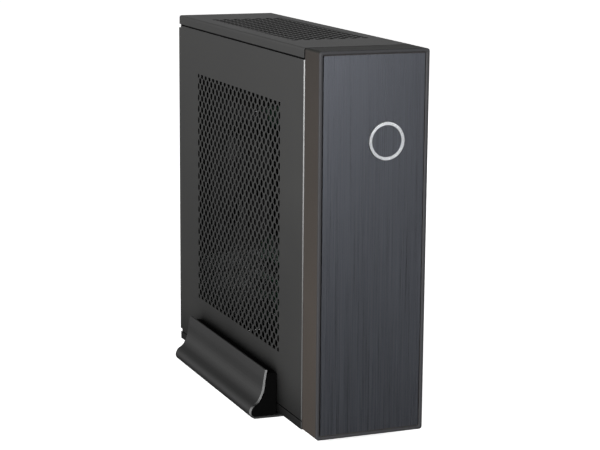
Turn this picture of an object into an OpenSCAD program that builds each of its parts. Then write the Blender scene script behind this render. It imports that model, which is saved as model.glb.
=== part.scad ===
// Slim upright desktop computer on a cradle stand.
// Frame: X across the case, Y from the front face to the back, Z up.
// The origin is on the floor under the middle of the whole object.
// Most modules draw in the case frame: x from the middle, y from the front face, z from the case bottom.

/* [Case] */
// Width of the case
case_w = 96; // [92:1:100]
// Depth of the case from front face to rear panel
case_d = 352; // [345:1:360]
// Height of the case without the stand
case_h = 320; // [316:1:324]
// Depth of the plastic front
fascia_d = 32.2; // [28:0.1:34]
// Sheet steel thickness
sheet = 0.8; // [0.6:0.1:1]
// Height of the top cover's side flange
top_flange = 8.2; // [8:0.1:12]
// Height of the bottom pan's side flange
pan_flange = 7; // [5:0.5:8]

/* [Perforation] */
// Hole pitch along a row
hole_pitch = 10.5; // [9:0.1:11]
// Row spacing
hole_row = 5.35; // [5:0.05:6]
// Corner radius of one six-sided hole
hole_r = 3.3; // [2.6:0.1:3.4]

/* [Power button] */
// Button centre across the case
button_x = 11.3; // [0:0.1:20]
// Button centre above the case bottom
button_z = 246; // [230:1:260]
// Outer radius of the ring
ring_r = 15.6; // [14:0.1:17]
// Radius of the cap inside the ring
cap_r = 13.1; // [12:0.1:14]

/* [Stand] */
// Gap from the floor to the case
case_lift = 6; // [5:0.5:8]
// Front end of the stand from the front face
stand_y = 88; // [80:1:96]
// Length of the stand
stand_len = 203; // [190:1:210]
// Sheet thickness of the stand
stand_t = 1.6; // [1.4:0.1:2]

/* [Hidden] */
screw_head = 6;
front_y = -(case_d + screw_head) / 2;
half_w = case_w / 2;
skin_y = fascia_d + 0.6;
skin_len = case_d - skin_y;
panel_bottom = pan_flange + 1;
cover_gap = 1.5;
panel_top = case_h - top_flange - cover_gap;
inner = half_w - sheet;
rear_in = case_d - sheet;
steel = [0.32, 0.32, 0.33];
zinc = [0.7, 0.7, 0.72];
black = [0.08, 0.08, 0.09];
board = [0.05, 0.2, 0.12];
gold = [0.8, 0.68, 0.35];

// ---- shared helpers ----
module case_frame() {
  translate([0, front_y, case_lift]) children();
}

// a box from its low corner to its high corner
module span(a, b) {
  translate(a) cube(b - a);
}

// a rod between two points
module rod(a, b, r) {
  v = b - a;
  len = norm(v);
  translate(a)
    rotate([0, acos(v[2] / len), atan2(v[1], v[0])])
      cylinder(h = len, r = r, $fn = 24);
}

// a thin eight-sided wire through a list of points
module wire(points, r) {
  for (i = [0:len(points) - 2]) {
    a = points[i];
    v = points[i + 1] - a;
    len = norm(v);
    translate(a)
      rotate([0, acos(v[2] / len), atan2(v[1], v[0])])
        translate([0, 0, -r * 0.4]) cylinder(h = len + r * 0.8, r = r, $fn = 8);
  }
}

// corner points of a rounded rectangle
function corner(cx, cy, r, a0) = [for (a = [0:15:90]) [cx + r * cos(a0 + a), cy + r * sin(a0 + a)]];
function round_box(x0, y0, x1, y1, r) = concat(corner(x1 - r, y1 - r, r, 0),
  corner(x0 + r, y1 - r, r, 90), corner(x0 + r, y0 + r, r, 180), corner(x1 - r, y0 + r, r, 270));

// extrude a front-view outline from y0 to y1
module deep(y0, y1) {
  translate([0, y1, 0]) rotate([90, 0, 0]) linear_extrude(y1 - y0) children();
}

// extrude a side-view outline (its x is depth) from x0 to x1
module across(x0, x1) {
  translate([x0, 0, 0]) rotate([90, 0, 90]) linear_extrude(x1 - x0) children();
}

// staggered six-sided holes around the origin, rows along x
module hole_field(rows, cols, pitch, row, r) {
  for (j = [0:rows - 1])
    for (i = [0:cols - 1 - j % 2])
      translate([(i - (cols - 1) / 2 + (j % 2) / 2) * pitch, (j - (rows - 1) / 2) * row])
        rotate(30)
          circle(r = r, $fn = 6);
}

module y_hole(x, z, r, y0, y1) {
  translate([x, y1, z]) rotate([90, 0, 0]) cylinder(h = y1 - y0, r = r, $fn = 48);
}

module x_hole(y, z, r, x0, x1) {
  translate([x0, y, z]) rotate([0, 90, 0]) cylinder(h = x1 - x0, r = r, $fn = 48);
}

// ---- front ----
lip = 2.7;
groove = 1;
plate_y0 = 0.3;
plate_y1 = 1.5;
wall_y0 = 1.6;
wall_y1 = 4;
fascia_wall = 2.4;
rebate = 0.9;
rebate_d = 1.6;
usb_z = [150, 168];
jack_z = [188, 200];
port_y = 15;
clip_z = [24, 110, 296];

module fascia() case_frame() {
  color(black) {
    difference() {
      union() {
        deep(0, fascia_d - rebate_d) polygon(round_box(-half_w, 0, half_w, case_h, 2.4));
        deep(fascia_d - rebate_d - 0.01, fascia_d)
          polygon(round_box(-half_w + rebate, rebate, half_w - rebate, case_h - rebate, 1.5));
      }
      deep(-1, wall_y0) polygon(round_box(-half_w + lip, lip, half_w - lip, case_h - lip, 1.6));
      deep(wall_y1, fascia_d + 0.01)
        polygon(round_box(-half_w + fascia_wall, fascia_wall, half_w - fascia_wall,
          case_h - fascia_wall, 1));
      y_hole(button_x, button_z, ring_r + 0.5, -1, wall_y1 + 1);
      for (z = usb_z)
        span([half_w - 4, port_y - 3.3, z - 7.3], [half_w + 1, port_y + 3.3, z + 7.3]);
      for (z = jack_z)
        x_hole(port_y, z, 3.2, half_w - 4, half_w + 1);
    }
    for (z = clip_z)
      for (s = [-1, 1])
        span([s * 40 - 5, wall_y1 - 0.5, z], [s * 40 + 5, fascia_d + 5, z + 1.6]);
  }
}

module front_plate() case_frame() {
  color([0.2, 0.21, 0.23])
    deep(plate_y0, plate_y1)
      difference() {
        polygon(round_box(-half_w + lip + groove, lip + groove, half_w - lip - groove,
          case_h - lip - groove, 1));
        translate([button_x, button_z]) circle(r = ring_r + 0.5, $fn = 96);
      }
}

module at_button() {
  translate([button_x, 0, button_z]) rotate([-90, 0, 0]) children();
}

module tube(r_out, r_in, y0, y1) {
  translate([0, 0, y0])
    difference() {
      cylinder(h = y1 - y0, r = r_out, $fn = 96);
      translate([0, 0, -1]) cylinder(h = y1 - y0 + 2, r = r_in, $fn = 96);
    }
}

module button_ring() case_frame() {
  color([0.8, 0.81, 0.82])
    at_button() tube(ring_r, cap_r, -0.2, 3.2);
}

stem_end = 16.9;

module power_button() case_frame() {
  color([0.2, 0.21, 0.23])
    at_button() {
      translate([0, 0, plate_y0]) cylinder(h = 3.2 - plate_y0, r = cap_r, $fn = 96);
      translate([0, 0, 3.2]) cylinder(h = 1.1, r = ring_r - 0.2, $fn = 96);
      translate([0, 0, 4.3]) cylinder(h = 1.2, r = 17.6, $fn = 96);
      translate([0, 0, 5.5]) cylinder(h = stem_end - 5.5, r = 2, $fn = 48);
    }
}

module button_spring() case_frame() {
  coil_r = 8;
  pitch = 2.5;
  color(zinc)
    at_button()
      for (k = [0:3])
        translate([0, 0, 6.1 + k * pitch]) {
          rotate_extrude(angle = 300, $fn = 96) translate([coil_r, 0]) circle(r = 0.4, $fn = 24);
          if (k < 3)
            rod([coil_r * cos(296), coil_r * sin(296), 0], [coil_r * cos(4), coil_r * sin(4), pitch], 0.46);
        }
}

module button_guide() case_frame() {
  color(black)
    at_button() {
      tube(20.4, 18, wall_y1, 14.2);
      tube(20.4, 2.4, 14.2, 15.6);
      for (s = [-1, 1])
        translate([s * 14, 0, 15.6]) cylinder(h = 22.4 - 15.6, r = 2, $fn = 32);
    }
}

module power_switch() case_frame() {
  color(black)
    at_button() {
      translate([0, 0, 18.4]) cylinder(h = 1, r = 1.7, $fn = 32);
      span([-3, -3, 19.4], [3, 3, 22.4]);
    }
}

module switch_board() case_frame() {
  color(board)
    at_button() span([-17, -10, 22.4], [17, 10, 23.6]);
}

module front_io_board() case_frame() {
  color(board)
    span([half_w - 20, port_y + 2.9, 138], [half_w - 3.2, port_y + 4.3, 208]);
  color(black)
    span([half_w - 19, port_y + 4.3, 160], [half_w - 13, port_y + 8.4, 186]);
}

// a data socket lying on its side: shell, floor and a set-back contact tongue
module usb_shell(depth) {
  color(zinc) {
    difference() {
      cube([depth, 5.8, 13.4]);
      translate([1, 0.35, 0.4]) cube([depth, 5.1, 12.6]);
    }
    translate([1, 3.4, 1.2]) cube([depth - 6, 1.6, 11]);
  }
}

module front_usb_ports() case_frame() {
  for (z = usb_z)
    translate([half_w - 15, port_y - 2.9, z - 6.7]) usb_shell(14.6);
}

jack_r = 1.8;

module front_audio_jacks() case_frame() {
  color(black)
    for (z = jack_z)
      difference() {
        union() {
          span([half_w - 16, port_y - 3.5, z - 4], [half_w - 2.6, port_y + 2.9, z + 4]);
          x_hole(port_y, z, 3, half_w - 2.6, half_w - 0.2);
        }
        x_hole(port_y, z, jack_r, half_w - 14.2, half_w + 1);
      }
}

// ---- enclosure ----
module top_cover() case_frame() {
  color(steel) {
    translate([0, 0, case_h - sheet])
      linear_extrude(sheet)
        difference() {
          translate([-half_w + 2, skin_y]) square([case_w - 4, skin_len - 0.3]);
          translate([0.3, 193.6]) rotate(90) hole_field(13, 20, hole_pitch, hole_row, hole_r);
        }
    for (s = [-1, 1])
      deep(skin_y, case_d - 0.3)
        scale([s, 1])
          polygon(concat(
            [for (a = [90:-15:0]) [half_w - 2 + 2 * cos(a), case_h - 2 + 2 * sin(a)]],
            [[half_w, case_h - top_flange], [inner, case_h - top_flange]],
            [for (a = [0:15:90]) [half_w - 2 + 1.2 * cos(a), case_h - 2 + 1.2 * sin(a)]]));
  }
}

stand_screw_x = 30;
stand_screw_y = [stand_y + 24, stand_y + stand_len - 24];

module bottom_pan() case_frame() {
  color(steel)
    difference() {
      deep(skin_y, case_d - 0.3)
        polygon([[-half_w, 0], [half_w, 0], [half_w, pan_flange], [inner, pan_flange],
          [inner, sheet], [-inner, sheet], [-inner, pan_flange], [-half_w, pan_flange]]);
      for (y = stand_screw_y)
        for (s = [-1, 1])
          translate([s * stand_screw_x, y, -1]) cylinder(h = 4, r = 1.6, $fn = 32);
    }
}

bulk_y = fascia_d + 2;
plate_half = inner - sheet;

module front_bulkhead() case_frame() {
  color(steel)
    deep(bulk_y, bulk_y + sheet)
      difference() {
        translate([-plate_half, 1.1]) square([2 * plate_half, case_h - 2.2]);
        for (z = clip_z)
          for (s = [-1, 1])
            translate([s * 40 - 6, z - 0.4]) square([12, 3.2]);
        translate([26, 120]) circle(r = 8, $fn = 64);
        translate([-2, 24]) square([30, 28], center = true);
      }
}

// opening for the board's sockets
io_x0 = -7.2;
io_x1 = 37.2;
io_z0 = 88.2;
io_z1 = 247;
slot_z = [75, 54.7, 34.4, 14.1];
slot_x0 = -26;
slot_x1 = 34;
psu_z0 = 253;
psu_z1 = 317.6;
psu_y0 = 176;
psu_half = 42.5;
psu_screw_x = 38.4;
psu_screw_z = [psu_z0 + 6, psu_z1 - 6];
thumb_x = -41;
thumb_z = [46, 238];
panel_screw_x = 41;

module rear_panel() case_frame() {
  color(zinc)
    deep(rear_in, case_d)
      difference() {
        translate([-plate_half, 1.1]) square([2 * plate_half, case_h - 2.2]);
        translate([io_x0, io_z0]) square([io_x1 - io_x0, io_z1 - io_z0]);
        for (z = slot_z)
          translate([slot_x0, z - 6.2]) square([slot_x1 - slot_x0, 12.4]);
        polygon(round_box(-34, psu_z0 + 7, 34, psu_z1 - 7, 2));
        for (x = [-psu_screw_x, psu_screw_x])
          for (z = psu_screw_z)
            translate([x, z]) circle(r = 1.9, $fn = 32);
        for (z = thumb_z)
          translate([thumb_x, z]) circle(r = 2, $fn = 32);
        for (z = thumb_z)
          translate([panel_screw_x, z]) circle(r = 1.5, $fn = 32);
        for (z = slot_z)
          translate([slot_x0 - 5, z]) circle(r = 1.5, $fn = 32);
      }
}

hook_y = [70, 180, 300];
hook_z = case_h - 20;
rail_x = plate_half;
rail_leg = 28;
rail_top = case_h - 1.1;

// folded angle along one edge of the case; keyed slots take the removable panel's hooks
module rail(slotted) {
  difference() {
    union() {
      span([rail_x - sheet, bulk_y + sheet, rail_top - rail_leg], [rail_x, rear_in, rail_top]);
      span([rail_x - 11, bulk_y + sheet, rail_top - sheet], [rail_x, rear_in, rail_top]);
    }
    if (slotted)
      for (y = hook_y) {
        span([rail_x - 2, y - 1.5, hook_z - 2], [rail_x + 1, y + 20, hook_z + 2]);
        span([rail_x - 2, y + 17, hook_z - 6.5], [rail_x + 1, y + 27, hook_z + 6.5]);
      }
  }
}

module chassis_rails() case_frame() {
  color(zinc)
    for (up = [0, 1])
      translate([0, 0, up * case_h])
        mirror([0, 0, up])
          mirror([0, 0, 1])
            translate([0, 0, -case_h]) {
              rail(false);
              mirror([1, 0, 0]) rail(true);
            }
}

module deep_z(z0, z1) {
  translate([0, 0, z0]) linear_extrude(z1 - z0) children();
}

edge = 4;
hem = 0.4;
fold_y0 = case_d + 0.3;
fold_y1 = fold_y0 + sheet;
fold_x = half_w - 12.4;

// hems, rounded front edge and rear fold shared by both side panels, for the +X side
module panel_edges(screw_x) {
  deep_z(panel_bottom, panel_top)
    polygon(concat(
      [for (a = [0:15:90]) [half_w - 1 + cos(a), skin_y + 1 - sin(a)]],
      [[half_w - 1.2, skin_y], [half_w - 1.2, skin_y + edge], [half_w, skin_y + edge]]));
  difference() {
    deep_z(panel_bottom + 2, panel_top - 2)
      polygon([[half_w, case_d - edge], [half_w, fold_y1], [fold_x, fold_y1],
        [fold_x, fold_y0], [inner, fold_y0], [inner, case_d - edge]]);
    for (z = thumb_z)
      y_hole(screw_x, z, 1.75, case_d - 1, case_d + 2);
    // room for the power supply's lower screw heads
    span([fold_x - 1, case_d - 1, psu_screw_z[0] - 4], [psu_screw_x + 4, case_d + 2, psu_screw_z[0] + 4]);
  }
  for (z = [panel_bottom, panel_top - 7])
    span([inner - hem, skin_y + edge, z], [inner, case_d - edge, z + 7]);
}

// staggered six-sided holes, cut off square at the edge of the perforated area
field_y = 191;
field_z = 161.7;
field_rows = 20;
field_cols = 10;
field_half_y = 106.2;
field_half_z = 107.8;

function within(v, half) = min(max(v, -half), half);

module perforated_sheet() {
  across(-half_w, -inner)
    difference() {
      translate([skin_y + edge, panel_bottom])
        square([case_d - skin_y - 2 * edge, panel_top - panel_bottom]);
      for (j = [-field_rows:field_rows])
        for (i = [-field_cols + abs(j % 2) / 2:field_cols])
          polygon([for (a = [30:60:330]) [
            field_y + within(i * hole_pitch + hole_r * cos(a), field_half_y),
            field_z + within(j * hole_row + hole_r * sin(a), field_half_z)]]);
    }
}

module side_panel_left() case_frame() {
  color(steel) {
    perforated_sheet();
    mirror([1, 0, 0]) panel_edges(-thumb_x);
    for (y = hook_y)
      for (z = [hook_z, case_h - hook_z]) {
        span([-inner - 0.1, y, z - 0.5], [-rail_x + 2.4, y + 6, z + 0.5]);
        span([-rail_x + 1.6, y, z - 5], [-rail_x + 2.4, y + 6, z + 5]);
      }
  }
}

module side_panel_right() case_frame() {
  color(steel) {
    span([inner, skin_y + edge, panel_bottom], [half_w, case_d - edge, panel_top]);
    panel_edges(panel_screw_x);
  }
}

// captive thumbscrew with a knurled head
module thumbscrew(z) {
  color(zinc) {
    y_hole(thumb_x, z, 1.65, case_d - 4.5, fold_y1 + 0.1);
    difference() {
      y_hole(thumb_x, z, 5, fold_y1 + 0.1, case_d + screw_head);
      for (a = [0:30:330])
        translate([thumb_x, case_d, z]) rotate([0, a, 0]) span([4.5, 2, -0.4], [6, 7, 0.4]);
      translate([thumb_x, case_d + 5.4, z]) rotate([0, 45, 0]) cube([6, 1.3, 1], center = true);
    }
  }
}

module thumbscrew_upper() case_frame() {
  thumbscrew(thumb_z[1]);
}

module thumbscrew_lower() case_frame() {
  thumbscrew(thumb_z[0]);
}

// pan-head screw pointing along -Y: its seat is at y
module y_screw(x, y, z, r, length) {
  difference() {
    union() {
      y_hole(x, z, r, y - length, y);
      y_hole(x, z, r * 1.9, y, y + 1.8);
    }
    for (a = [0, 90])
      translate([x, y + 1.8, z]) rotate([0, a, 0]) cube([r * 2, 1.6, 0.6], center = true);
  }
}

module rear_screws() case_frame() {
  color(zinc) {
    for (z = thumb_z)
      y_screw(panel_screw_x, fold_y1, z, 1.4, 5);
    for (z = slot_z)
      y_screw(slot_x0 - 5, case_d, z, 1.4, 4.5);
  }
}

// ---- board and what stands on it ----
tray_x = 43;
pcb_x = 35.2;
pcb_t = 1.6;
pcb_y0 = 106;
pcb_y1 = 349.8;
pcb_z0 = 8;
pcb_z1 = 252;
stud_y = [pcb_y0 + 10, pcb_y0 + 122, pcb_y1 - 34];
stud_z = [pcb_z0 + 16.5, pcb_z0 + 122, pcb_z1 - 10];

module motherboard_tray() case_frame() {
  color(zinc)
    difference() {
      span([tray_x, 98, 2.2], [tray_x + sheet, rear_in, 252.4]);
      span([tray_x - 1, 245, 140], [tray_x + 2, 305, 205]);
      for (y = stud_y)
        for (z = stud_z)
          x_hole(y, z, 1.5, tray_x - 1, tray_x + 2);
    }
}

module standoffs() case_frame() {
  color(gold)
    for (y = stud_y)
      for (z = stud_z)
        difference() {
          union() {
            translate([pcb_x + pcb_t, y, z]) rotate([0, 90, 0])
              cylinder(h = tray_x - pcb_x - pcb_t, r = 3, $fn = 6);
            x_hole(y, z, 1.45, tray_x, tray_x + sheet);
          }
          x_hole(y, z, 1.5, pcb_x, pcb_x + pcb_t + 4.5);
        }
}

module board_screws() case_frame() {
  color(zinc)
    for (y = stud_y)
      for (z = stud_z)
        difference() {
          union() {
            x_hole(y, z, 1.4, pcb_x, pcb_x + 5.6);
            x_hole(y, z, 3, pcb_x - 1.8, pcb_x);
          }
          for (a = [0, 90])
            translate([pcb_x - 1.8, y, z]) rotate([a, 0, 0]) cube([1.6, 3.4, 0.6], center = true);
        }
}

module motherboard() case_frame() {
  color(board)
    difference() {
      span([pcb_x, pcb_y0, pcb_z0], [pcb_x + pcb_t, pcb_y1, pcb_z1]);
      for (y = stud_y)
        for (z = stud_z)
          x_hole(y, z, 1.6, pcb_x - 1, pcb_x + pcb_t + 1);
    }
}

cpu_y = 262;
cpu_z = 172;

module board_components() case_frame() {
  // power chokes and their regulator heatsink
  color([0.25, 0.25, 0.27]) {
    for (i = [0:5])
      span([pcb_x - 7, 310, 136 + i * 13], [pcb_x, 320, 146 + i * 13]);
    for (i = [0:4])
      span([pcb_x - 7, 224 + i * 13, 222], [pcb_x, 234 + i * 13, 232]);
  }
  color(zinc) {
    // chipset heatsink
    span([pcb_x - 3, 140, 48], [pcb_x, 178, 86]);
    for (i = [0:8])
      span([pcb_x - 11, 140 + i * 4.5, 48], [pcb_x - 3, 141.6 + i * 4.5, 86]);
    // polymer capacitors
    for (i = [0:6])
      x_hole(300, 132 + i * 12.5, 3.2, pcb_x - 8, pcb_x);
    for (i = [0:4])
      x_hole(212, 60 + i * 9, 3.2, pcb_x - 8, pcb_x);
  }
  color(black) {
    // 24-way power socket
    span([pcb_x - 9, 109, 150], [pcb_x, 118, 202]);
    // 8-way processor power socket
    span([pcb_x - 9, 270, 238], [pcb_x, 288, 248]);
    // drive data sockets
    for (i = [0:3])
      span([pcb_x - 8, 108 + (i % 2) * 8, 66 + floor(i / 2) * 20],
        [pcb_x, 114 + (i % 2) * 8, 82 + floor(i / 2) * 20]);
    // front panel header
    span([pcb_x - 8, 124, 24], [pcb_x, 130, 46]);
    // control chips
    span([pcb_x - 1.4, 190, 24], [pcb_x, 202, 36]);
    span([pcb_x - 1.4, 300, 96], [pcb_x, 312, 108]);
    span([pcb_x - 1.4, 146, 120], [pcb_x, 156, 130]);
  }
}

port_y0 = 332;
port_y1 = case_d + 0.4;
rear_usb_z = [234, 170];
net_z = 192;
video_z = [214, 148];
sound_z = 104;
sound_x = [29.6, 18, 6.4];

// two sockets stacked away from the board
module usb_pair(z) {
  color(zinc)
    difference() {
      span([pcb_x - 15.6, port_y0, z - 7], [pcb_x, port_y1, z + 7]);
      for (i = [0, 1])
        span([pcb_x - 14.4 + i * 7.4, port_y0 + 4, z - 6.25],
          [pcb_x - 9.2 + i * 7.4, port_y1 + 1, z + 6.25]);
    }
  color(black)
    for (i = [0, 1])
      span([pcb_x - 12.9 + i * 7.4, port_y0 + 4, z - 5.4],
        [pcb_x - 11.1 + i * 7.4, port_y1 - 5.2, z + 5.4]);
}

module rear_usb_ports() case_frame() {
  for (z = rear_usb_z)
    usb_pair(z);
}

module network_port() case_frame() {
  color(zinc)
    difference() {
      span([pcb_x - 13.4, port_y0, net_z - 8], [pcb_x, port_y1, net_z + 8]);
      span([pcb_x - 12, port_y0 + 5, net_z - 6], [pcb_x - 4, port_y1 + 1, net_z + 6]);
      span([pcb_x - 4.1, port_y0 + 5, net_z - 3], [pcb_x - 1.6, port_y1 + 1, net_z + 3]);
    }
  color(gold)
    for (i = [0:7])
      span([pcb_x - 12, port_y0 + 5, net_z - 3.7 + i * 1.02],
        [pcb_x - 11.6, port_y1 - 5, net_z - 3.3 + i * 1.02]);
}

module video_ports() case_frame() {
  for (z = video_z) {
    color(zinc)
      difference() {
        span([pcb_x - 7, port_y0, z - 9], [pcb_x, port_y1, z + 9]);
        span([pcb_x - 6, port_y0 + 4, z - 7.6], [pcb_x - 1.2, port_y1 + 1, z + 7.6]);
      }
    color(black)
      span([pcb_x - 4.3, port_y0 + 4, z - 6], [pcb_x - 2.9, port_y1 - 5, z + 6]);
  }
}

module rear_audio_jacks() case_frame() {
  color(black)
    for (x = sound_x)
      difference() {
        union() {
          span([x - 5.6, port_y0, sound_z - 6.5], [x + 5.6, port_y1 - 2, sound_z + 6.5]);
          y_hole(x, sound_z, 3.1, port_y1 - 2, port_y1 + 0.6);
        }
        y_hole(x, sound_z, jack_r, port_y1 - 15.4, port_y1 + 1);
      }
}

module io_shield() case_frame() {
  rim = 2;
  face_y = case_d + 0.1;
  color(zinc)
    difference() {
      union() {
        span([io_x0 - rim, rear_in - 0.5, io_z0 - rim], [io_x1 + rim, rear_in, io_z1 + rim]);
        span([io_x0 + 0.2, rear_in - 0.5, io_z0 + 0.2], [io_x1 - 0.2, face_y, io_z1 - 0.2]);
      }
      span([io_x0 + 0.7, rear_in - 2, io_z0 + 0.7], [io_x1 - 0.7, face_y - 0.4, io_z1 - 0.7]);
      for (z = rear_usb_z)
        span([pcb_x - 15.8, rear_in, z - 7.2], [pcb_x + 0.2, case_d + 1, z + 7.2]);
      span([pcb_x - 13.6, rear_in, net_z - 8.2], [pcb_x + 0.2, case_d + 1, net_z + 8.2]);
      for (z = video_z)
        span([pcb_x - 7.2, rear_in, z - 9.2], [pcb_x + 0.2, case_d + 1, z + 9.2]);
      for (x = sound_x)
        y_hole(x, sound_z, 3.4, rear_in - 1, case_d + 1);
    }
}

module processor() case_frame() {
  color([0.1, 0.1, 0.1])
    span([pcb_x - 3.4, cpu_y - 24, cpu_z - 24], [pcb_x, cpu_y + 24, cpu_z + 24]);
  color(zinc) {
    span([pcb_x - 4.6, cpu_y - 18.7, cpu_z - 18.7], [pcb_x - 3.4, cpu_y + 18.7, cpu_z + 18.7]);
    span([pcb_x - 6, cpu_y - 15, cpu_z - 15], [pcb_x - 4.6, cpu_y + 15, cpu_z + 15]);
  }
}

sink_half = 45;
sink_x1 = pcb_x - 6;
sink_x0 = -6;
fan_x0 = sink_x0 - 25;

module heatsink() case_frame() {
  color([0.75, 0.76, 0.78]) {
    span([sink_x1 - 7, cpu_y - 22, cpu_z - 22], [sink_x1, cpu_y + 22, cpu_z + 22]);
    span([sink_x1 - 10, cpu_y - 30, cpu_z - sink_half], [sink_x1 - 6, cpu_y + 30, cpu_z + sink_half]);
    for (i = [0:20])
      span([sink_x0, cpu_y - sink_half, cpu_z - sink_half + 0.2 + i * 4.42],
        [sink_x1 - 9, cpu_y + sink_half, cpu_z - sink_half + 1 + i * 4.42]);
    // feet that reach the board
    for (sy = [-1, 1])
      for (sz = [-1, 1])
        x_hole(cpu_y + sy * 26, cpu_z + sz * 37.5, 2.5, sink_x1 - 7, pcb_x);
  }
}

// square fan frame, drawn flat: air moves along z
module fan_frame(size, depth, bore) {
  h = size / 2;
  difference() {
    span([-h, -h, 0], [h, h, depth]);
    translate([0, 0, -1]) cylinder(h = depth + 2, r = bore, $fn = 96);
    for (sx = [-1, 1])
      for (sy = [-1, 1])
        translate([sx * (h - 4.5), sy * (h - 4.5), -1]) cylinder(h = depth + 2, r = 2.1, $fn = 32);
    for (a = [0:90:270])
      rotate(a) span([-h + 10, h - 3, 3.4], [h - 10, h + 1, depth - 3.4]);
  }
  for (a = [20:90:290])
    rotate(a) span([14, -1.6, 0.3], [bore + 1.5, 1.6, 2.1]);
  cylinder(h = 2.4, r = 16, $fn = 64);
}

// hub with pitched blades, drawn flat
module fan_rotor(z0, z1, hub, tip, blades) {
  translate([0, 0, z0]) cylinder(h = z1 - z0, r = hub, $fn = 64);
  for (i = [0:blades - 1])
    rotate(i * 360 / blades)
      translate([0, 0, (z0 + z1) / 2])
        rotate([38, 0, 0])
          span([hub - 1, -(z1 - z0) * 0.66, -0.7], [tip, (z1 - z0) * 0.66, 0.7]);
}

module at_cpu_fan() {
  translate([sink_x0 - 0.02, cpu_y, cpu_z]) rotate([0, -90, 0]) children();
}

module cpu_fan_frame() case_frame() {
  color(black) at_cpu_fan() fan_frame(92, 25, 44);
}

module cpu_fan_rotor() case_frame() {
  color([0.13, 0.13, 0.14]) at_cpu_fan() fan_rotor(3, 22, 18, 41.5, 7);
}

dimm_y = [196, 186];
dimm_z0 = 108;

module memory_sockets() case_frame() {
  color(black)
    for (y = dimm_y)
      difference() {
        span([pcb_x - 8, y - 3.4, dimm_z0], [pcb_x, y + 3.4, dimm_z0 + 142]);
        span([pcb_x - 9, y - 0.7, dimm_z0 + 4], [pcb_x - 3, y + 0.7, dimm_z0 + 138]);
      }
}

module memory_modules() case_frame() {
  for (y = dimm_y) {
    color(board)
      span([pcb_x - 34.2, y - 0.64, dimm_z0 + 4.3], [pcb_x - 3, y + 0.64, dimm_z0 + 137.6]);
    color(black)
      for (i = [0:7])
        span([pcb_x - 24, y - 1.9, dimm_z0 + 9 + i * 16], [pcb_x - 13, y + 1.9, dimm_z0 + 20 + i * 16]);
  }
}

module expansion_slots() case_frame() {
  color(black) {
    slot_socket(75, 243);
    slot_socket(54.7, 307);
    slot_socket(34.4, 307);
    slot_socket(14.1, 307);
  }
}

module slot_socket(z, y0) {
  difference() {
    span([pcb_x - 11, y0, z - 3.7], [pcb_x, 332, z + 3.7]);
    span([pcb_x - 12, y0 + 3, z - 0.9], [pcb_x - 3, 329, z + 0.9]);
  }
}

module slot_covers() case_frame() {
  color(zinc)
    for (z = slot_z)
      difference() {
        span([slot_x0 - 9, rear_in - 0.9, z - 9.2], [slot_x1 + 3, rear_in, z + 9.2]);
        y_hole(slot_x0 - 5, z, 1.5, rear_in - 2, rear_in + 1);
      }
}

module coin_cell() case_frame() {
  color(black)
    difference() {
      x_hole(160, 104, 12, pcb_x - 3.4, pcb_x);
      x_hole(160, 104, 10.1, pcb_x - 4, pcb_x - 1);
    }
  color(zinc)
    x_hole(160, 104, 10, pcb_x - 4.2, pcb_x - 1);
}

// ---- power supply ----
inlet_x = -16;
inlet_z = 285;
rocker_x = 17;
rocker_z = 285;
psu_fan_y = 240;

module psu_case() case_frame() {
  color(zinc)
    difference() {
      span([-psu_half, psu_y0, psu_z0], [psu_half, rear_in, psu_z1]);
      span([-psu_half + sheet, psu_y0 + sheet, psu_z0 + sheet],
        [psu_half - sheet, rear_in - sheet, psu_z1 - sheet]);
      // rear openings
      span([inlet_x - 13.6, rear_in - 2, inlet_z - 10.1], [inlet_x + 13.6, rear_in + 1, inlet_z + 10.1]);
      span([rocker_x - 6.6, rear_in - 2, rocker_z - 10.6], [rocker_x + 6.6, rear_in + 1, rocker_z + 10.6]);
      for (x = [-psu_screw_x, psu_screw_x])
        for (z = psu_screw_z)
          y_hole(x, z, 1.6, rear_in - 2, rear_in + 1);
      // cable outlet at the front
      y_hole(18, 280, 9, psu_y0 - 1, psu_y0 + 2);
      // fan opening in the top, between rings
      for (r = [30, 23, 16])
        translate([0, psu_fan_y, psu_z1 - 2])
          difference() {
            cylinder(h = 4, r = r + 5.6, $fn = 96);
            translate([0, 0, -1]) cylinder(h = 6, r = r, $fn = 96);
            for (a = [45:90:315])
              rotate(a) span([0, -1.6, -1], [60, 1.6, 6]);
          }
      // outlet slots in the front
      for (i = [0:9])
        span([-38 + i * 4.6, psu_y0 - 1, psu_z0 + 10], [-35.6 + i * 4.6, psu_y0 + 2, psu_z1 - 24]);
    }
}

module psu_board() case_frame() {
  color([0.35, 0.25, 0.12])
    span([-39, psu_y0 + 6, psu_z0 + 4], [39, rear_in - 26, psu_z0 + 5.6]);
  color(zinc) {
    for (x = [-24, 22])
      span([x, psu_y0 + 30, psu_z0 + 5.6], [x + 2, psu_y0 + 130, psu_z0 + 40]);
    for (i = [0, 1])
      translate([-33, psu_y0 + 60 + i * 26, psu_z0 + 5.6]) cylinder(h = 28, r = 8, $fn = 48);
    for (i = [0:3])
      translate([32, psu_y0 + 34 + i * 16, psu_z0 + 5.6]) cylinder(h = 18, r = 5, $fn = 32);
  }
  color([0.75, 0.6, 0.15])
    for (i = [0, 1])
      span([-12, psu_y0 + 40 + i * 44, psu_z0 + 5.6], [14, psu_y0 + 70 + i * 44, psu_z0 + 33]);
}

module at_psu_fan() {
  translate([0, psu_fan_y, psu_z1 - sheet - 15.2]) children();
}

module psu_fan_frame() case_frame() {
  color(black) at_psu_fan() fan_frame(80, 15, 38.4);
}

module psu_fan_rotor() case_frame() {
  color([0.13, 0.13, 0.14]) at_psu_fan() fan_rotor(2.9, 13.6, 15, 36, 9);
}

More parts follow.
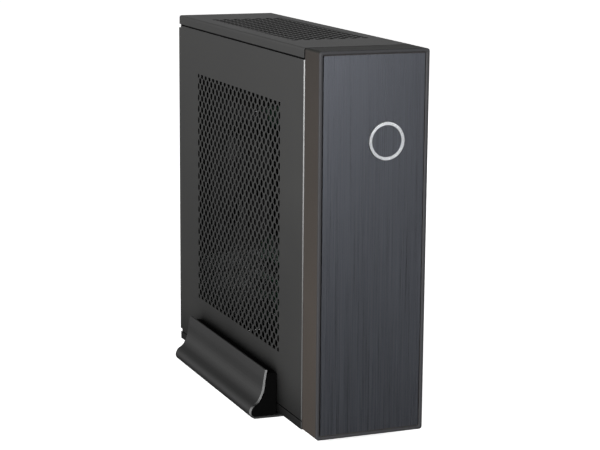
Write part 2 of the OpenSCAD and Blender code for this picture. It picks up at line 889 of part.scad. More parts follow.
module mains_inlet() case_frame() {
  color(black)
    difference() {
      union() {
        span([inlet_x - 15.5, rear_in, inlet_z - 12], [inlet_x + 15.5, rear_in + 2.6, inlet_z + 12]);
        span([inlet_x - 13.5, rear_in - 22, inlet_z - 10], [inlet_x + 13.5, rear_in, inlet_z + 10]);
      }
      deep(rear_in - 16, rear_in + 4)
        polygon([[inlet_x - 12, inlet_z - 8], [inlet_x + 12, inlet_z - 8], [inlet_x + 12, inlet_z + 4],
          [inlet_x + 8, inlet_z + 8], [inlet_x - 8, inlet_z + 8], [inlet_x - 12, inlet_z + 4]]);
    }
  color(zinc)
    for (p = [[-7, -2], [0, 2], [7, -2]])
      span([inlet_x + p[0] - 1, rear_in - 16, inlet_z + p[1] - 2],
        [inlet_x + p[0] + 1, rear_in - 3, inlet_z + p[1] + 2]);
}

axle_y = rear_in - 3;

module switch_frame() case_frame() {
  color(black)
    difference() {
      union() {
        span([rocker_x - 8, rear_in, rocker_z - 12.5], [rocker_x + 8, rear_in + 1.4, rocker_z + 12.5]);
        span([rocker_x - 6.5, rear_in - 18, rocker_z - 10.5], [rocker_x + 6.5, rear_in, rocker_z + 10.5]);
      }
      span([rocker_x - 5.8, rear_in - 16, rocker_z - 9.6], [rocker_x + 5.8, rear_in + 2, rocker_z + 9.6]);
    }
}

// rocker tipped to one side: pivots about X through its axle line
module psu_switch() case_frame() {
  color(black)
    translate([rocker_x, axle_y, rocker_z])
      rotate([10, 0, 0])
        difference() {
          rotate([0, 90, 0]) translate([0, 0, -5.4]) cylinder(h = 10.8, r = 9, $fn = 64);
          span([-8, -12, -12], [8, -3, 12]);
          rotate([12, 0, 0]) span([-8, 3.8, 0], [8, 14, 14]);
          rotate([-12, 0, 0]) span([-8, 3.8, -14], [8, 14, 0]);
        }
}

module psu_screws() case_frame() {
  color(zinc)
    for (x = [-psu_screw_x, psu_screw_x])
      for (z = psu_screw_z)
        y_screw(x, case_d, z, 1.5, 5);
}

// ---- drives ----
bracket_y = bulk_y + sheet;
drive_y = bracket_y + 2;
drive_len = 69.8;

module drive_bracket() case_frame() {
  color(zinc)
    difference() {
      union() {
        span([10, bracket_y, 78], [10.8, bracket_y + 74, 184]);
        span([10, bracket_y, 78], [22, bracket_y + sheet, 184]);
      }
      for (z = [100, 131, 162])
        span([9, drive_y + 14, z - 9], [12, drive_y + 56, z + 9]);
    }
}

module solid_state_drive() case_frame() {
  color([0.15, 0.15, 0.16])
    span([10.8, drive_y, 81], [17.8, drive_y + drive_len, 181]);
}

module hard_drive() case_frame() {
  color([0.6, 0.61, 0.63])
    span([0.5, drive_y, 81], [10, drive_y + drive_len, 181]);
  color(black)
    span([-0.3, drive_y + 4, 86], [0.5, drive_y + 65, 176]);
}

// ---- cables ----
module power_cable() case_frame() {
  color(black) {
    wire([[18, psu_y0 + 4, 280], [18, 160, 280], [16, 140, 262], [8, 120, 236], [8, 113.5, 214],
      [16, 113.5, 190]], 5);
    span([14, 109.2, 151], [pcb_x - 9, 117.8, 201]);
  }
}

module drive_cables() case_frame() {
  color([0.5, 0.08, 0.06]) {
    wire([[14.4, 62, 186], [14.4, 70, 200], [20, 96, 200], [24, 104, 160], [24, 106, 116],
      [23, 111, 97]], 1.8);
    span([12, 52, 181], [16.8, 72, 190]);
    span([pcb_x - 16, 108.4, 88], [pcb_x - 8, 113.6, 101]);
  }
  color(black) {
    wire([[5, psu_y0 - 1.2, 268], [5, 140, 262], [4, 110, 240], [4, 88, 214], [5, 85, 188]], 2.4);
    span([1.2, 74, 181], [9.2, 96, 192]);
  }
}

module front_cable() case_frame() {
  color(black) {
    wire([[20, 25.8, 240], [23.4, 25.8, 126], [27, 36, 118], [27, 92, 70], [23, 116, 48],
      [23, 127, 40]], 1.8);
    span([21, port_y + 4.8, 162], [half_w - 19, 25, 184]);
    span([pcb_x - 16, 124.2, 25], [pcb_x - 8, 129.8, 45]);
  }
}

// ---- stand ----
// outline of the wing: distance out from the case side, height from the case bottom
wing = [[10.2, 41], [10.9, 38], [12.4, 30.4], [14.0, 19.5], [18.0, 10.9], [23.6, 6.4], [25.6, 1.4],
  [24.2, -2.6], [19.3, -5], [12, -5]];
function cr(a, b, c, d, t) = 0.5 * (2 * b + (c - a) * t + (2 * a - 5 * b + 4 * c - d) * t * t
  + (3 * b - a - 3 * c + d) * t * t * t);
function smooth(p, n) = [for (i = [1:len(p) - 3]) for (k = [0:n - 1])
  cr(p[i - 1], p[i], p[i + 1], p[i + 2], k / n)];
outer_line = smooth(wing, 4);
function unit(v) = v / norm(v);
function side(p, i, d) = let (a = p[max(i - 1, 0)], b = p[min(i + 1, len(p) - 1)], u = unit(b - a))
  p[i] + d * [u[1], -u[0]];
inner_line = [for (i = [0:len(outer_line) - 1]) side(outer_line, i, stand_t)];
function to_right(p) = [for (q = p) [half_w + q[0], q[1]]];
function to_left(p) = [for (i = [len(p) - 1:-1:0]) [-half_w - p[i][0], p[i][1]]];

module stand() case_frame() {
  color([0.24, 0.24, 0.25])
    difference() {
      deep(stand_y, stand_y + stand_len)
        polygon(concat(to_right(outer_line), [[half_w, -5], [-half_w, -5]], to_left(outer_line),
          [for (q = inner_line) [-half_w - q[0], q[1]]], [[-half_w, stand_t - 5], [half_w, stand_t - 5]],
          [for (i = [len(inner_line) - 1:-1:0]) [half_w + inner_line[i][0], inner_line[i][1]]]));
      for (y = stand_screw_y)
        for (s = [-1, 1])
          translate([s * stand_screw_x, y, -6]) cylinder(h = 4, r = 1.7, $fn = 32);
    }
}

liner_line = [for (i = [0:len(outer_line) - 1]) side(outer_line, i, stand_t + 0.1)];

module stand_liners() case_frame() {
  color(black)
    for (s = [0, 1])
      mirror([s, 0, 0])
        deep(stand_y + 1.2, stand_y + stand_len - 1.2)
          polygon(concat([for (q = liner_line) if (q[1] < 36) [half_w + q[0], q[1]]],
            [[half_w + 0.6, stand_t - 4.9], [half_w + 0.6, 34]]));
}

module stand_bumpers() case_frame() {
  color(black)
    for (y = [stand_y + 6, stand_y + stand_len - 18])
      for (s = [-1, 1])
        span([s * 30 - 10, y, stand_t - 5], [s * 30 + 10, y + 12, 0]);
}

module stand_pads() case_frame() {
  color(black)
    for (y = [stand_y + 8, stand_y + stand_len - 28])
      for (s = [-1, 1])
        translate([s * 52, y + 10, -6]) cylinder(h = 1, r = 9, $fn = 48);
}

module stand_screws() case_frame() {
  color(zinc)
    for (y = stand_screw_y)
      for (s = [-1, 1])
        translate([s * stand_screw_x, y, 0]) {
          translate([0, 0, -5]) cylinder(h = 8, r = 1.5, $fn = 32);
          translate([0, 0, stand_t - 5]) cylinder(h = 5 - stand_t, r = 4, $fn = 6);
          difference() {
            translate([0, 0, -5.9]) cylinder(h = 0.9, r = 3.4, $fn = 32);
            translate([0, 0, -6]) cylinder(h = 0.6, r = 1.2, $fn = 6);
          }
        }
}

fascia();
front_plate();
button_ring();
power_button();
button_spring();
button_guide();
power_switch();
switch_board();
front_io_board();
front_usb_ports();
front_audio_jacks();
top_cover();
bottom_pan();
front_bulkhead();
rear_panel();
chassis_rails();
side_panel_left();
side_panel_right();
thumbscrew_upper();
thumbscrew_lower();
rear_screws();
motherboard_tray();
standoffs();
board_screws();
motherboard();
board_components();
rear_usb_ports();
network_port();
video_ports();
rear_audio_jacks();
io_shield();
processor();
heatsink();
cpu_fan_frame();
cpu_fan_rotor();
memory_sockets();
memory_modules();
expansion_slots();
slot_covers();
coin_cell();
psu_case();
psu_board();
psu_fan_frame();
psu_fan_rotor();
mains_inlet();
switch_frame();
psu_switch();
psu_screws();
drive_bracket();
solid_state_drive();
hard_drive();
power_cable();
drive_cables();
front_cable();
stand();
stand_liners();
stand_bumpers();
stand_pads();
stand_screws();
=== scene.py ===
import math

import bmesh
import bpy
from mathutils import Matrix, Vector


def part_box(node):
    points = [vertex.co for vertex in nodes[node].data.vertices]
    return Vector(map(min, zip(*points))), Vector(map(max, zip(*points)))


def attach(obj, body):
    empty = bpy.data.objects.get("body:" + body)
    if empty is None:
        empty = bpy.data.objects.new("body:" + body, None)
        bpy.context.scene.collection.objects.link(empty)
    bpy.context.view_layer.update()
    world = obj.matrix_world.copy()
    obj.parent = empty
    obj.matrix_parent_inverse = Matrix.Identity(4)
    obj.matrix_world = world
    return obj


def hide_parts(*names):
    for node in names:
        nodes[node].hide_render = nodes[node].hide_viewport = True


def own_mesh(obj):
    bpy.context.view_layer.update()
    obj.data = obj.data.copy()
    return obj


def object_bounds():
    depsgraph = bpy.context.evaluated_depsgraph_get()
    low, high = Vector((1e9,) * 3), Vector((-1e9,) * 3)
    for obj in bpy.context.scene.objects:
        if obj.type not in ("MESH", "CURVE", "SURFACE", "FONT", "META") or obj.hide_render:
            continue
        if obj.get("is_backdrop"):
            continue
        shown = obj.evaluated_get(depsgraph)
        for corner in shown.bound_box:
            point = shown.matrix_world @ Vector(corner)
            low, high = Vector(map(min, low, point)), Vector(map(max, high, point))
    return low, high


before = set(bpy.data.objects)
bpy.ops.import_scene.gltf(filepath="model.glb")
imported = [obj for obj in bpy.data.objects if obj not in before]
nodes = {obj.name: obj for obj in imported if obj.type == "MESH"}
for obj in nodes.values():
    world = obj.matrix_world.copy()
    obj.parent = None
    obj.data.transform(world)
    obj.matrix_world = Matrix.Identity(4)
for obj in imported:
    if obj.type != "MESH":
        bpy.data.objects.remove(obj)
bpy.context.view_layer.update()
scene = bpy.context.scene
scene.view_settings.view_transform = "Standard"
scene.view_settings.look = "None"


# ---------------------------------------------------------------- materials
def srgb(v):
    """Linear value of an 8-bit display value."""
    c = v / 255.0
    return c / 12.92 if c <= 0.04045 else ((c + 0.055) / 1.055) ** 2.4


def grey(r, g=None, b=None):
    """Colour from one or three 8-bit display values."""
    g = r if g is None else g
    b = r if b is None else b
    return (srgb(r), srgb(g), srgb(b), 1.0)


MM = 0.001
X, Y, Z = 0, 1, 2
SHADE_BLACK = (0.0, 0.0, 0.0, 1.0)
USUAL = (0.3, 0.7)  # where most of a noise texture's values lie


def scaled(colour, share):
    """A colour made darker or lighter, never past white."""
    return tuple(min(1.0, share * v) for v in colour[:3]) + (1.0,)


class Mat:
    """A node material with small helpers, in object coordinates (metres)."""

    def __init__(self, name, rough, metal=0.0, spec=0.5):
        self.m = bpy.data.materials.new(name)
        self.m.use_nodes = True
        self.t = self.m.node_tree
        self.b = self.t.nodes["Principled BSDF"]
        self.b.inputs["Roughness"].default_value = rough
        self.b.inputs["Metallic"].default_value = metal
        self.b.inputs["Specular IOR Level"].default_value = spec
        self.coord = self.t.nodes.new("ShaderNodeTexCoord")

    def link(self, a, b):
        self.t.links.new(a, b)

    # -- textures and places
    def mapped(self, scale):
        n = self.t.nodes.new("ShaderNodeMapping")
        n.inputs["Scale"].default_value = scale
        self.link(self.coord.outputs["Object"], n.inputs["Vector"])
        return n.outputs["Vector"]

    def noise(self, scale, detail=3.0, rough=0.55, at=None):
        n = self.t.nodes.new("ShaderNodeTexNoise")
        n.inputs["Scale"].default_value = scale
        n.inputs["Detail"].default_value = detail
        n.inputs["Roughness"].default_value = rough
        self.link(at if at is not None else self.coord.outputs["Object"], n.inputs["Vector"])
        return n.outputs["Fac"]

    def cells(self, scale):
        n = self.t.nodes.new("ShaderNodeTexVoronoi")
        n.inputs["Scale"].default_value = scale
        self.link(self.coord.outputs["Object"], n.inputs["Vector"])
        return n

    def axis(self, which):
        n = self.t.nodes.new("ShaderNodeSeparateXYZ")
        self.link(self.coord.outputs["Object"], n.inputs[0])
        return n.outputs[which]

    def normal(self, which):
        g = self.t.nodes.new("ShaderNodeNewGeometry")
        n = self.t.nodes.new("ShaderNodeSeparateXYZ")
        self.link(g.outputs["Normal"], n.inputs[0])
        return n.outputs[which]

    def occlusion_for_painted_shade(self, distance):
        """1 in the open, falling to 0 in a corner; it paints shade where it darkens a colour."""
        n = self.t.nodes.new("ShaderNodeAmbientOcclusion")
        n.samples = 6
        n.inputs["Distance"].default_value = distance
        return self.span(n.outputs["AO"], 0.3, 1.0)

    def rounded(self, radius, samples):
        """Surface normals as if edges had this radius."""
        n = self.t.nodes.new("ShaderNodeBevel")
        n.samples = samples
        n.inputs["Radius"].default_value = radius
        return n.outputs["Normal"]

    def edges(self, radius=0.6 * MM):
        """Worn edges: 0 on flats, 1 on sharp outer edges."""
        g = self.t.nodes.new("ShaderNodeNewGeometry")
        d = self.t.nodes.new("ShaderNodeVectorMath")
        d.operation = "DOT_PRODUCT"
        self.link(self.rounded(radius, 4), d.inputs[0])
        self.link(g.outputs["Normal"], d.inputs[1])
        return self.span(d.outputs["Value"], 1.0, 0.86)

    # -- arithmetic
    def math(self, op, a, b=None):
        n = self.t.nodes.new("ShaderNodeMath")
        n.operation = op
        for k, v in enumerate((a, b)):
            if isinstance(v, (int, float)):
                n.inputs[k].default_value = v
            elif v is not None:
                self.link(v, n.inputs[k])
        return n.outputs[0]

    def times(self, a, b):
        return self.math("MULTIPLY", a, b)

    def plus(self, a, b):
        return self.math("ADD", a, b)

    def most(self, a, b):
        return self.math("MAXIMUM", a, b)

    def rest(self, a):
        return self.math("SUBTRACT", 1.0, a)

    def span(self, value, a, b, low=0.0, high=1.0):
        """The value's range a to b stretched to low to high, and held at both ends."""
        n = self.t.nodes.new("ShaderNodeMapRange")
        n.inputs["From Min"].default_value = a
        n.inputs["From Max"].default_value = b
        n.inputs["To Min"].default_value = low
        n.inputs["To Max"].default_value = high
        self.link(value, n.inputs["Value"])
        return n.outputs[0]

    def spread(self, noise, low, high):
        return self.span(noise, *USUAL, low, high)

    def ramp(self, fac, lo, hi, places=USUAL):
        n = self.t.nodes.new("ShaderNodeValToRGB")
        for e, place, colour in zip(n.color_ramp.elements, places, (lo, hi)):
            e.position = place
            e.color = colour
        self.link(fac, n.inputs["Fac"])
        return n.outputs["Color"]

    def mix(self, fac, a, b):
        n = self.t.nodes.new("ShaderNodeMix")
        n.data_type = "RGBA"
        for name, v in (("Factor", fac), ("A", a), ("B", b)):
            s = [i for i in n.inputs if i.name == name and i.enabled][0]
            if isinstance(v, tuple):
                s.default_value = v
            else:
                self.link(v, s)
        return [o for o in n.outputs if o.enabled][0]

    # -- what the shader gets
    def colour(self, c):
        self.link(c, self.b.inputs["Base Color"])

    def rough(self, v):
        self.link(v, self.b.inputs["Roughness"])

    def shine(self, v):
        self.link(v, self.b.inputs["Specular IOR Level"])

    def bump(self, height, distance, strength, over=None):
        n = self.t.nodes.new("ShaderNodeBump")
        n.inputs["Distance"].default_value = distance
        n.inputs["Strength"].default_value = strength
        self.link(height, n.inputs["Height"])
        if over is not None:
            self.link(over, n.inputs["Normal"])
        self.link(n.outputs["Normal"], self.b.inputs["Normal"])


def coat_grain(m, cloud, rough):
    """The fine grain of a powder coat in roughness and bump."""
    grain = m.noise(1500.0, 2.0)
    m.rough(m.plus(m.spread(grain, -0.05, 0.06), m.spread(cloud, rough - 0.03, rough + 0.03)))
    m.bump(grain, 0.03 * MM, 0.5)
    return grain


def coated(name, lo, hi, rough, spec):
    """Powder coat on sheet steel, lightly worn at the edges: the material, and its colour so far."""
    m = Mat(name, rough, 0.0, spec)
    cloud = m.noise(9.0, 4.0)
    grain = coat_grain(m, cloud, rough)
    c = m.mix(m.span(grain, 0.35, 0.65, 0.0, 0.25), m.ramp(cloud, lo, hi), hi)
    wear = m.times(m.edges(0.5 * MM), m.span(m.noise(60.0), 0.45, 0.7))
    return m, m.mix(m.times(wear, 0.35), c, grey(120))


def powder_coat(name, lo, hi, rough, spec):
    """Plain powder coat on sheet steel."""
    m, c = coated(name, lo, hi, rough, spec)
    m.colour(c)
    return m.m


def case_coat(name, lo, hi, rough, spec):
    """Powder coat on the case sheets, with painted shade (near black without shine inside, in the hole walls
    and underneath, and darker beside the stand) and a painted highlight on the panels' front edge.
    """
    m, c = coated(name, lo, hi, rough, spec)
    cover_low, cover_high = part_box("top_cover")
    front, top = cover_low.y, cover_high.z
    panel_top = top - 9.5 * MM
    edge = m.span(m.axis(Y), front + 0.9 * MM, front + 0.4 * MM)
    on_panel = m.span(m.axis(Z), panel_top + MM, panel_top - MM)
    flank = m.span(m.times(m.axis(X), m.normal(X)), 20 * MM, 30 * MM)
    lid = m.times(m.span(m.normal(Z), 0.3, 0.6), m.span(m.axis(Z), top - 0.6 * MM, top - 0.3 * MM))
    # painted shade: where this mask falls to 0 the sheet turns near black without shine; it falls inside, in
    # the hole walls, underneath and beside the stand
    clear_of_painted_shade = m.times(m.most(m.most(flank, lid), edge), m.occlusion_for_painted_shade(50 * MM))
    c = m.mix(clear_of_painted_shade, (0.0015, 0.0015, 0.0015, 1.0), c)
    # painted highlight: a pale line down the panels' front edge, brighter towards the top
    painted_highlight_up = m.span(m.axis(Z), 100 * MM, 300 * MM, 0.12, 0.7)
    m.colour(m.mix(m.times(edge, m.times(painted_highlight_up, on_panel)), c, grey(168)))
    m.shine(m.times(clear_of_painted_shade, spec))
    return m.m


def bent_sheet(name, lo, hi, rough, spec):
    """Powder coat on the bent cradle, with painted shade in the hollow of the bend and a painted highlight
    on its cut front end.
    """
    m = Mat(name, rough, 0.0, spec)
    cloud = m.noise(9.0, 4.0)
    coat_grain(m, cloud, rough)
    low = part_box("stand")[0]

    def height(start, end):
        """0 at the start and 1 at the end, both in millimetres above the bottom of the cradle."""
        return m.span(m.axis(Z), low.z + start * MM, low.z + end * MM)

    # painted shade: the hollow of the bend is darkened and loses its shine
    shadow = m.times(m.times(height(21, 15), height(9, 13)), 0.5)
    c = m.mix(shadow, m.ramp(cloud, lo, hi), SHADE_BLACK)
    # painted highlight: a pale line on the cut front end of the wing and the nose
    cut = m.span(m.axis(Y), low.y + 1.2 * MM, low.y + 0.6 * MM)
    wing = height(13, 18)
    nose = m.times(height(12, 10), height(3, 6))
    m.colour(m.mix(m.times(cut, m.most(wing, nose)), c, grey(112)))
    m.shine(m.times(m.rest(shadow), spec))
    return m.m


def moulded(name, lo, hi, rough, scale=1100.0):
    """Moulded plastic with a fine spark-eroded texture."""
    m = Mat(name, rough, 0.0, 0.45)
    grain = m.noise(scale, 3.0, 0.6)
    c = m.ramp(m.noise(14.0, 3.0), lo, hi, (0.3, 0.72))
    m.colour(m.mix(m.times(m.edges(), 0.3), c, grey(120)))
    m.rough(m.spread(grain, rough - 0.06, rough + 0.08))
    m.bump(grain, 0.04 * MM, 0.6)
    return m.m


def fascia_plastic(name, side, top, lip, rough, spec):
    """Moulded front with a rolled edge: painted shade darkens it towards the top and on its top face; a
    neutral lip around the plate.
    """
    m = Mat(name, rough, 0.0, spec)
    grain = m.noise(1100.0, 3.0, 0.6)
    low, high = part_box("fascia")
    c = m.ramp(m.noise(14.0, 3.0), side, scaled(side, 1.12), (0.3, 0.72))
    # painted shade: darker towards the top
    c = m.mix(m.span(m.axis(Z), 120 * MM, high.z, 0.0, 0.42), c, SHADE_BLACK)
    # painted shade: the top face is darker and less shiny
    lid = m.span(m.axis(Z), high.z - 2 * MM, high.z - 0.5 * MM)
    c = m.mix(lid, c, top)
    m.colour(m.mix(m.span(m.axis(Y), low.y + 2.2 * MM, low.y + 0.8 * MM), c, lip))
    m.shine(m.times(m.rest(m.times(lid, 0.45)), spec))
    m.rough(m.spread(grain, rough - 0.06, rough + 0.08))
    m.bump(grain, 0.04 * MM, 0.6, m.rounded(2 * MM, 6))
    return m.m


def brushed(name, lo, hi, rough, darker_to=None):
    """Aluminium brushed from top to bottom; painted shade darkens its top from x = -darker_to to darker_to.
    """
    m = Mat(name, rough, 1.0)
    fine = m.noise(1.0, 2.0, 0.6, m.mapped((5200, 5200, 9)))
    broad = m.noise(1.0, 3.0, 0.55, m.mapped((900, 900, 2.2)))
    streak = m.plus(m.times(fine, 0.82), m.times(broad, 0.18))
    c = m.ramp(streak, lo, hi)
    if darker_to is not None:
        # painted shade: the plate's sheen falls off towards the right, most at the top
        painted_sheen_shade = m.times(m.span(m.axis(X), -darker_to, darker_to), m.span(m.axis(Z), 20 * MM, 300 * MM))
        c = m.mix(m.times(painted_sheen_shade, 0.34), c, SHADE_BLACK)
    m.colour(c)
    m.rough(m.spread(streak, rough - 0.07, rough + 0.08))
    m.b.inputs["Anisotropic"].default_value = 0.55
    t = m.t.nodes.new("ShaderNodeTangent")
    t.direction_type = "RADIAL"
    t.axis = "X"
    m.link(t.outputs["Tangent"], m.b.inputs["Tangent"])
    m.bump(streak, 0.02 * MM, 0.35)
    return m.m


def turned(name, colour, centre, axes):
    """Metal turned about a centre on two axes: fine rings and a radial sheen."""
    rough = 0.3
    m = Mat(name, rough, 1.0)
    across, up = (m.math("SUBTRACT", m.axis(a), c) for a, c in zip(axes, centre))
    radius = m.math("SQRT", m.plus(m.times(across, across), m.times(up, up)))
    ring = m.math("SINE", m.times(radius, 26000.0))
    soft = m.noise(700.0, 2.0)
    m.colour(m.mix(m.spread(soft, 0.0, 0.5), colour, scaled(colour, 0.86)))
    m.rough(m.plus(m.span(ring, -1, 1, rough - 0.03, rough + 0.03), m.spread(soft, -0.03, 0.05)))
    m.bump(ring, 0.012 * MM, 0.4)
    return m.m


def plated(name, colour, rough, spangle):
    """Zinc-plated sheet with faint crystal spangle and rolling lines."""
    m = Mat(name, rough, 1.0)
    crystal = m.cells(spangle)
    roll = m.noise(1.0, 2.0, 0.5, m.mapped((60, 60, 2600)))
    c = m.mix(m.span(crystal.outputs["Color"], 0.0, 1.0, 0.0, 0.35), colour, scaled(colour, 0.72))
    m.colour(m.mix(m.times(m.edges(0.5 * MM), 0.5), c, grey(225)))
    facets = m.span(crystal.outputs["Distance"], 0.0, 0.8, rough - 0.05, rough + 0.06)
    m.rough(m.plus(facets, m.spread(roll, -0.04, 0.04)))
    m.bump(roll, 0.02 * MM, 0.3)
    return m.m


def circuit(name, mask, track, gold):
    """Solder mask with faint tracks and round pads."""
    m = Mat(name, 0.34)
    bands = m.noise(1.0, 0.0, 0.5, m.mapped((1, 160, 520)))
    lines = m.math("GREATER_THAN", m.math("FRACT", m.times(bands, 14.0)), 0.78)
    pads = m.math("LESS_THAN", m.cells(330.0).outputs["Distance"], 0.12)
    c = m.mix(m.times(lines, 0.55), mask, track)
    m.colour(m.mix(m.times(pads, 0.8), c, gold))
    m.rough(m.span(lines, 0, 1, 0.36, 0.26))
    m.bump(lines, 0.04 * MM, 0.4)
    return m.m


def rubbery(name, c, rough=0.7, spec=0.3):
    """Soft dull rubber or cable skin."""
    m = Mat(name, rough, 0.0, spec)
    grain = m.noise(800.0, 3.0)
    m.colour(m.ramp(m.noise(25.0), c, scaled(c, 1.5), (0.3, 0.75)))
    m.rough(m.spread(grain, rough - 0.08, rough + 0.1))
    m.bump(grain, 0.05 * MM, 0.5)
    return m.m


def braided(name, c):
    """Woven cable sleeve."""
    m = Mat(name, 0.6, 0.0, 0.4)
    weave = m.t.nodes.new("ShaderNodeTexWave")
    weave.inputs["Scale"].default_value = 900.0
    weave.inputs["Distortion"].default_value = 2.0
    m.link(m.coord.outputs["Object"], weave.inputs["Vector"])
    strand = weave.outputs["Fac"]
    m.colour(m.mix(m.times(strand, 0.6), c, scaled(c, 2.2)))
    m.rough(m.span(strand, 0, 1, 0.5, 0.72))
    m.bump(strand, 0.2 * MM, 0.5)
    return m.m


low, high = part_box("button_ring")
ring_centre = ((low.x + high.x) / 2, (low.z + high.z) / 2)

CASE = case_coat("case_powder_coat", grey(46), grey(52, 52, 51), 0.46, 0.5)
INNER = powder_coat("inner_powder_coat", grey(7), grey(10), 0.8, 0.06)
REAR = powder_coat("rear_powder_coat", grey(30), grey(36), 0.5, 0.3)
STAND = bent_sheet("stand_powder_coat", grey(38), grey(44), 0.42, 0.35)
FRONT = fascia_plastic("front_moulding", grey(63, 58, 54), grey(30, 31, 29), grey(50, 50, 52), 0.48, 0.22)
BLACK = moulded("black_moulding", grey(22), grey(29), 0.5)
PLATE = brushed("brushed_plate", grey(84, 86, 92), grey(104, 107, 114), 0.3, darker_to=45 * MM)
RING = turned("ring_metal", grey(214, 216, 219), ring_centre, (X, Z))
ZINC = plated("zinc_sheet", grey(176, 178, 180), 0.36, 220.0)
BRIGHT = plated("bright_plating", grey(196, 197, 199), 0.28, 500.0)
SOCKET = plated("socket_plating", grey(84, 85, 87), 0.5, 500.0)
FINS = brushed("fin_aluminium", grey(52, 53, 55), grey(66, 67, 69), 0.45)
BRASS = turned("brass_studs", grey(196, 168, 106), (0.0, 0.0), (Y, Z))
BOARD = circuit("circuit_board", (0.004, 0.024, 0.011, 1), (0.01, 0.05, 0.024, 1), (0.42, 0.33, 0.14, 1))
CHIP = moulded("socket_black", grey(20), grey(26), 0.42, 1500.0)
RUBBER = rubbery("black_rubber", grey(26))
# painted shade: the stand's liners are near black with little shine, standing in for the shade in the gap
# between cradle and case
SHADE_BLACK_LINER = rubbery("liner_painted_shade", grey(4), 0.8, 0.03)
CABLE = braided("cable_sleeve", grey(24))
RED = rubbery("data_cable", grey(120, 26, 20), 0.5)
GREY = moulded("drive_casting", grey(120, 121, 124), grey(140, 141, 144), 0.42)

FINISH = {
    CASE: ["top_cover", "bottom_pan", "side_panel_left", "side_panel_right"],
    REAR: ["rear_panel"],
    INNER: ["front_bulkhead", "chassis_rails", "motherboard_tray", "psu_case", "drive_bracket"],
    STAND: ["stand"],
    FRONT: ["fascia"],
    PLATE: ["front_plate", "power_button"],
    RING: ["button_ring"],
    SHADE_BLACK_LINER: ["stand_liners"],
    BLACK: ["button_guide", "cpu_fan_frame", "cpu_fan_rotor", "psu_fan_frame", "psu_fan_rotor",
            "mains_inlet", "switch_frame", "psu_switch", "solid_state_drive"],
    ZINC: ["slot_covers"],
    BRIGHT: ["thumbscrew_upper", "thumbscrew_lower", "rear_screws", "psu_screws", "board_screws",
             "stand_screws", "button_spring", "front_usb_ports", "processor", "coin_cell"],
    SOCKET: ["rear_usb_ports", "network_port", "video_ports", "io_shield"],
    FINS: ["heatsink"],
    BRASS: ["standoffs"],
    BOARD: ["motherboard", "switch_board", "front_io_board", "psu_board", "memory_modules"],
    CHIP: ["power_switch", "front_audio_jacks", "rear_audio_jacks", "board_components", "memory_sockets",
           "expansion_slots"],
    RUBBER: ["stand_bumpers", "stand_pads"],
    CABLE: ["power_cable", "front_cable"],
    RED: ["drive_cables"],
    GREY: ["hard_drive"],
}
for material, names in FINISH.items():
    for name in names:
        for s in nodes[name].material_slots:
            s.material = material


# ---------------------------------------------------------------- softened edges on the CAD parts
def soften(name, width, segments=2):
    """Round off a node's sharp edges by a width in millimetres."""
    b = nodes[name].modifiers.new("soft_edges", "BEVEL")
    b.width = width * MM
    b.segments = segments
    b.limit_method = "ANGLE"
    b.angle_limit = math.radians(40.0)
    b.harden_normals = False


soften("fascia", 0.9, 3)
soften("front_plate", 0.3)
soften("button_ring", 0.3)
soften("power_button", 0.2)
soften("stand", 0.3)


# ---------------------------------------------------------------- return spring behind the button
def mesh_object(name, bm):
    """An object in the scene from a finished mesh, which is freed."""
    me = bpy.data.meshes.new(name)
    bm.to_mesh(me)
    bm.free()
    o = bpy.data.objects.new(name, me)
    scene.collection.objects.link(o)
    return o


def coil(name, node, turns=4.5, wire=0.4 * MM, round_steps=28, wire_sides=8):
    """Helical spring along y in a node's box."""
    lo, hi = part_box(node)
    cx, cz = (lo.x + hi.x) / 2, (lo.z + hi.z) / 2
    radius = (hi.x - lo.x) / 2 - wire
    start, end = lo.y + wire, hi.y - wire
    along = Vector((0, 1, 0))
    around = [2 * math.pi * j / wire_sides for j in range(wire_sides)]
    bm = bmesh.new()
    rings = []
    steps = int(turns * round_steps)
    for k in range(steps + 1):
        a = 2 * math.pi * k / round_steps
        out = Vector((math.cos(a), 0.0, math.sin(a)))
        middle = Vector((cx, start + (end - start) * k / steps, cz)) + radius * out
        rings.append([bm.verts.new(middle + wire * (math.cos(b) * out + math.sin(b) * along))
                      for b in around])
    for r0, r1 in zip(rings, rings[1:]):
        for j in range(wire_sides):
            k = (j + 1) % wire_sides
            bm.faces.new((r0[j], r0[k], r1[k], r1[j]))
    bm.faces.new(rings[0])
    bm.faces.new(rings[-1])
    bmesh.ops.recalc_face_normals(bm, faces=bm.faces)
    o = mesh_object(name, bm)
    for f in o.data.polygons:
        f.use_smooth = True
    o.data.materials.append(BRIGHT)
    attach(o, "case")
    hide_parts(node)
    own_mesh(o)


coil("return_spring", "button_spring")


# ---------------------------------------------------------------- floor and lights
def floor():
    """A sheet of white paper; it gives the object no light and no reflection."""
    bm = bmesh.new()
    bmesh.ops.create_grid(bm, x_segments=8, y_segments=8, size=6.0)
    o = mesh_object("floor", bm)
    m = Mat("floor_paper", 0.75, 0.0, 0.2)
    m.colour(m.ramp(m.noise(3.0), (0.9, 0.9, 0.9, 1), (0.93, 0.93, 0.93, 1)))
    m.b.inputs["Emission Color"].default_value = (1.0, 1.0, 1.0, 1.0)
    m.b.inputs["Emission Strength"].default_value = 0.8
    o.data.materials.append(m.m)
    o.visible_glossy = False
    o.visible_diffuse = False
    o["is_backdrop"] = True


def lamp(name, at, aim, side, power):
    """A square soft light."""
    d = bpy.data.lights.new(name, "AREA")
    d.shape = "SQUARE"
    d.size = side
    d.energy = power
    o = bpy.data.objects.new(name, d)
    o.location = at
    o.rotation_mode = "QUATERNION"
    o.rotation_quaternion = (Vector(aim) - Vector(at)).to_track_quat("-Z", "Y")
    scene.collection.objects.link(o)


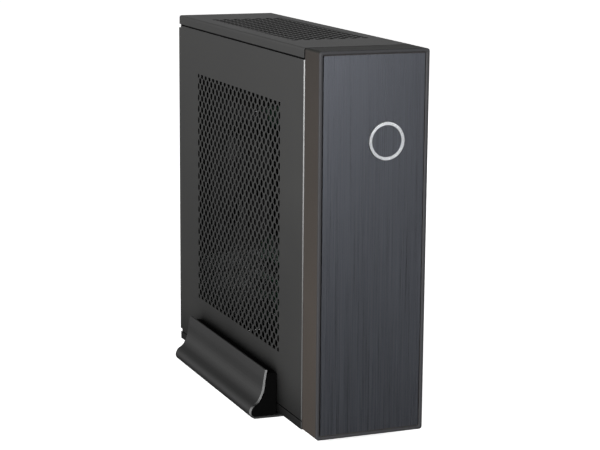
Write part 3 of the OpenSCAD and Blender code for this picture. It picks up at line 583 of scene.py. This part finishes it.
def studio():
    """Soft light by height: bright at eye level in front, dim low and overhead, and white to the camera."""
    world = bpy.data.worlds.new("studio")
    scene.world = world
    world.use_nodes = True
    t = world.node_tree
    room = t.nodes["Background"]
    coord = t.nodes.new("ShaderNodeTexCoord")
    part = t.nodes.new("ShaderNodeSeparateXYZ")
    t.links.new(coord.outputs["Generated"], part.inputs[0])
    brightest = 8.0

    def placed(value, a, b, low, high):
        n = t.nodes.new("ShaderNodeMapRange")
        for key, v in (("From Min", a), ("From Max", b), ("To Min", low), ("To Max", high)):
            n.inputs[key].default_value = v
        t.links.new(value, n.inputs["Value"])
        return n.outputs[0]

    height = placed(part.outputs["Z"], -1.0, 1.0, 0.0, 1.0)

    def shade(stops):
        """Brightness at directions of these heights, from -1 straight down to 1 straight up."""
        ramp = t.nodes.new("ShaderNodeValToRGB")
        band = ramp.color_ramp.elements
        for e in (band[0], band[1]):
            e.color = SHADE_BLACK
        for z, v in stops:
            share = v / brightest
            spot = min(max((z + 1) / 2, 0.001), 0.999)
            band.new(spot).color = (share, share, share, 1.0)
        t.links.new(height, ramp.inputs["Fac"])
        return ramp.outputs["Color"]

    behind = shade([(-1.0, 0.0), (-0.4, 0.0), (-0.24, 0.02), (-0.16, 0.16), (-0.08, 0.42), (0.02, 0.52),
                    (0.15, 0.42), (0.35, 0.34), (0.75, 0.16), (1.0, 0.16)])
    ahead = shade([(-1.0, 0.0), (-0.16, 0.0), (-0.08, 0.2), (0.02, 6.0), (0.15, 0.5), (0.35, 0.3),
                   (1.0, 0.3)])
    both = t.nodes.new("ShaderNodeMix")
    both.data_type = "RGBA"
    factor, first, second = (both.inputs[k] for k in (0, 6, 7))
    t.links.new(placed(part.outputs["Y"], -0.5, 0.5, 1.0, 0.0), factor)
    t.links.new(behind, first)
    t.links.new(ahead, second)
    t.links.new(both.outputs[2], room.inputs["Color"])
    room.inputs["Strength"].default_value = brightest
    paper = t.nodes.new("ShaderNodeBackground")
    paper.inputs["Color"].default_value = (1.0, 1.0, 1.0, 1.0)
    seen = t.nodes.new("ShaderNodeLightPath")
    mix = t.nodes.new("ShaderNodeMixShader")
    t.links.new(seen.outputs["Is Camera Ray"], mix.inputs[0])
    t.links.new(room.outputs[0], mix.inputs[1])
    t.links.new(paper.outputs[0], mix.inputs[2])
    t.links.new(mix.outputs[0], t.nodes["World Output"].inputs["Surface"])


floor()
studio()
lamp("fill", (-0.8, -0.9, 0.35), (-0.05, 0, 0.17), 0.5, 20)
lamp("rim", (2.0, 0.9, 0.6), (0, 0, 0.17), 0.8, 30)

# ---------------------------------------------------------------- camera, high at the front left
right = Vector((0.9274833, -0.3737849, 0.0077142))
forward = Vector((0.3678518, 0.9086870, -0.1974159))
up = Vector((0.0667813, 0.1859376, 0.9802895))
cam_data = bpy.data.cameras.new("camera")
cam_data.sensor_width = 36.0
cam_data.lens = 110.09
cam_data.clip_start = 0.05
cam = bpy.data.objects.new("camera", cam_data)
turn = Matrix((right, up, -forward)).transposed()
cam.matrix_world = Matrix.Translation((-0.60262, -1.51026, 0.47729)) @ turn.to_4x4()
scene.collection.objects.link(cam)
scene.camera = cam

low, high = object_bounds()
